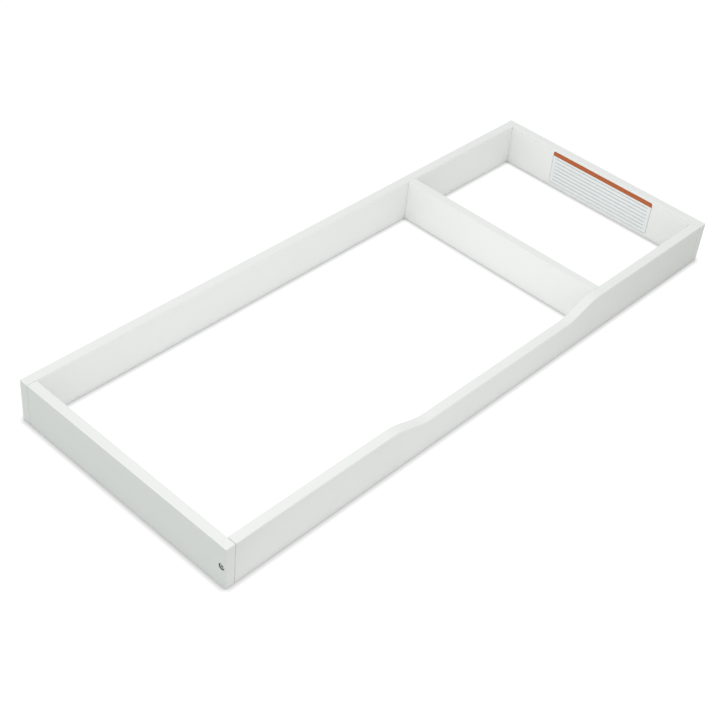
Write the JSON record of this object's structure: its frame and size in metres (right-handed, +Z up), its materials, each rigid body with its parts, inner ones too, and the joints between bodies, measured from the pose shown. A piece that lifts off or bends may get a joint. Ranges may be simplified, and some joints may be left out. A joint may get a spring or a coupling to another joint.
{
  "type": "dresser top changer",
  "caption": "Low open painted frame that stands on a dresser and holds a changing pad, with a dipped front rail and a divider that makes a storage bay.",
  "frame": {"origin": "on the underside, at the middle of the frame's length and depth", "axes": "+X along the length towards the storage bay, -Y towards the dipped front rail, +Z up"},
  "size_m": [1.22, 0.475, 0.084],
  "materials": {
    "white_paint": "satin white paint on board, edges eased",
    "zinc_plated_steel": "zinc plated",
    "beech": "raw turned beech"
  },
  "bodies": {
    "root": {"back_rail": "white_paint", "front_rail": "white_paint", "left_end_board": "white_paint", "right_end_board": "white_paint", "divider": "white_paint", "front_left_screw": "zinc_plated_steel", "front_right_screw": "zinc_plated_steel", "back_left_screw": "zinc_plated_steel", "back_right_screw": "zinc_plated_steel", "divider_back_screw": "zinc_plated_steel", "front_left_lower_dowel": "beech", "front_left_upper_dowel": "beech", "front_right_lower_dowel": "beech", "front_right_upper_dowel": "beech", "back_left_lower_dowel": "beech", "back_left_upper_dowel": "beech", "back_right_lower_dowel": "beech", "back_right_upper_dowel": "beech", "divider_back_lower_dowel": "beech", "divider_back_upper_dowel": "beech", "divider_front_lower_dowel": "beech", "divider_front_upper_dowel": "beech"}
  },
  "joints": []
}
